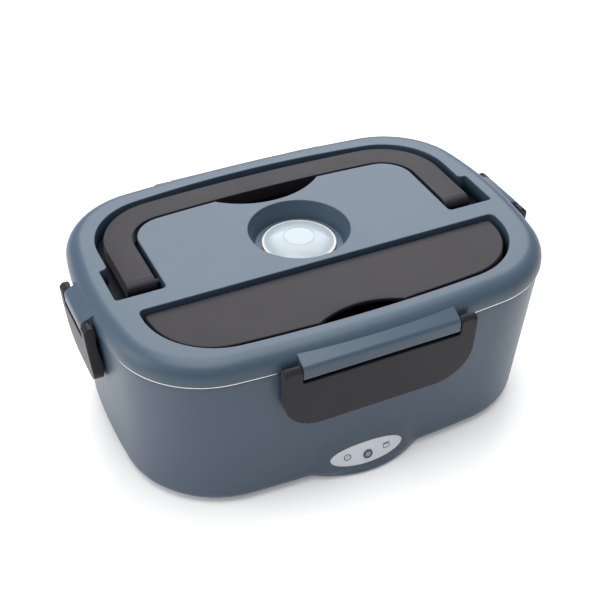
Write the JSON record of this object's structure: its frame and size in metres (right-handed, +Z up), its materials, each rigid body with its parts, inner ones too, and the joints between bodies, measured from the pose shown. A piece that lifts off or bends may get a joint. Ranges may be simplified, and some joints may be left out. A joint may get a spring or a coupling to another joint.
{
  "type": "electric lunch box",
  "caption": "Heated lunch box with a bowed rounded body, lift-out steel container, clip-on lid, carrying handle, steam valve and covered cutlery compartment.",
  "frame": {"origin": "middle of the footprint, on the surface that the rubber feet stand on", "axes": "+Z up, +X along the length, the front with the lamp panel faces -Y"},
  "size_m": [0.2472, 0.1772, 0.0956],
  "materials": {
    "shell": "satin",
    "trim": "matte",
    "steel": "brushed",
    "alloy": "satin",
    "rubber": "matte",
    "black_plastic": "matte",
    "ceramic": "matte",
    "wire": "satin",
    "board": "satin",
    "led": "clear",
    "panel": "satin silver",
    "lens": "smoked",
    "inner_white": "satin",
    "silicone": "soft",
    "valve": "translucent gloss"
  },
  "bodies": {
    "base": {"base_shell": "shell", "bottom_cover": "trim", "bottom_screws": "steel", "rubber_feet": "rubber", "heating_chamber": "trim", "heating_plate": "alloy", "plate_screws": "steel", "ptc_heater": "ceramic", "heater_clamp": "steel", "clamp_screws": "steel", "thermostat": "ceramic", "thermal_fuse": "ceramic", "heater_wires": "wire", "indicator_board": "board", "indicator_led": "led", "lamp_panel": "panel", "lamp_lens": "lens", "power_inlet": "black_plastic", "inlet_pins": "steel"},
    "container": {"food_container": "steel"},
    "lid": {"lid_shell": "shell", "lid_inner_plate": "inner_white", "lid_gasket": "silicone", "lid_screws": "steel", "vent_seat": "silicone"},
    "valve": {"vent_valve": "valve"},
    "handle": {"handle": "trim"},
    "cutlery_cover": {"cutlery_cover": "trim"},
    "front_latch": {"front_latch": "trim"},
    "rear_latch": {"rear_latch": "trim"},
    "left_latch": {"left_latch": "trim"},
    "right_latch": {"right_latch": "trim"}
  },
  "joints": [
    {"name": "container_lift", "type": "slide", "parent": "base", "child": "container", "axis": [0, 0, 1], "range_m": [0, 0.11]},
    {"name": "lid_lift", "type": "slide", "parent": "container", "child": "lid", "axis": [0, 0, 1], "range_m": [0, 0.12]},
    {"name": "valve_lift", "type": "slide", "parent": "lid", "child": "valve", "axis": [0, 0, 1], "range_m": [0, 0.004]},
    {"name": "handle_hinge", "type": "hinge", "parent": "lid", "child": "handle", "pos_m": [0, -0.0015, 0.091], "axis": [1, 0, 0], "range_deg": [0, 90]},
    {"name": "cutlery_cover_hinge", "type": "hinge", "parent": "lid", "child": "cutlery_cover", "pos_m": [0, -0.0295, 0.0919], "axis": [-1, 0, 0], "range_deg": [0, 100]},
    {"name": "front_latch_hinge", "type": "hinge", "parent": "lid", "child": "front_latch", "pos_m": [0, -0.08615, 0.0866], "axis": [-1, 0, 0], "range_deg": [0, 100]},
    {"name": "rear_latch_hinge", "type": "hinge", "parent": "lid", "child": "rear_latch", "pos_m": [0, 0.08615, 0.0866], "axis": [1, 0, 0], "range_deg": [0, 100]},
    {"name": "left_latch_hinge", "type": "hinge", "parent": "lid", "child": "left_latch", "pos_m": [-0.1209, 0, 0.0866], "axis": [0, 1, 0], "range_deg": [0, 100]},
    {"name": "right_latch_hinge", "type": "hinge", "parent": "lid", "child": "right_latch", "pos_m": [0.1209, 0, 0.0866], "axis": [0, -1, 0], "range_deg": [0, 100]}
  ]
}
